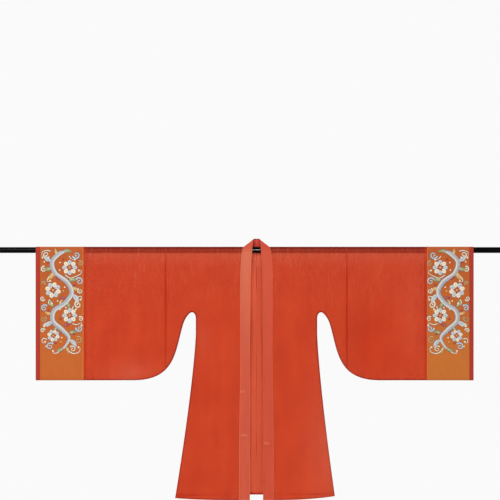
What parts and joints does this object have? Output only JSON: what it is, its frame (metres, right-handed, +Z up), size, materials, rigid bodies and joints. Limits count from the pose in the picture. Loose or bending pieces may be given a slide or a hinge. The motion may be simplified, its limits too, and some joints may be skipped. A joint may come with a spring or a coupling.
{
  "type": "hanfu robe on a display rod",
  "caption": "Wide-sleeved open-front gauze robe with straight neckband and contrasting embroidered cuff bands, hung flat on a straight round rod through both sleeves.",
  "frame": {"origin": "on the rod's axis, half way along the rod, at the robe's centre line", "axes": "+X along the rod, towards the robe's right side as seen from the front; the robe's front faces -Y; +Z up"},
  "size_m": [2.5, 0.0324, 1.2545],
  "materials": {
    "gauze_red": "sheer matte silk gauze",
    "neckband_red": "matte doubled silk",
    "cuff_orange": "satin silk with raised embroidery",
    "cuff_edge_red": "matte silk",
    "rod_black": "semi-gloss black"
  },
  "bodies": {
    "root": {"body_left": "gauze_red", "body_right": "gauze_red", "cuff_band_left": "cuff_orange", "cuff_band_right": "cuff_orange", "cuff_edge_left": "cuff_edge_red", "cuff_edge_right": "cuff_edge_red", "neckband_left": "neckband_red", "neckband_right": "neckband_red", "rod": "rod_black", "sleeve_left": "gauze_red", "sleeve_right": "gauze_red"}
  },
  "joints": []
}
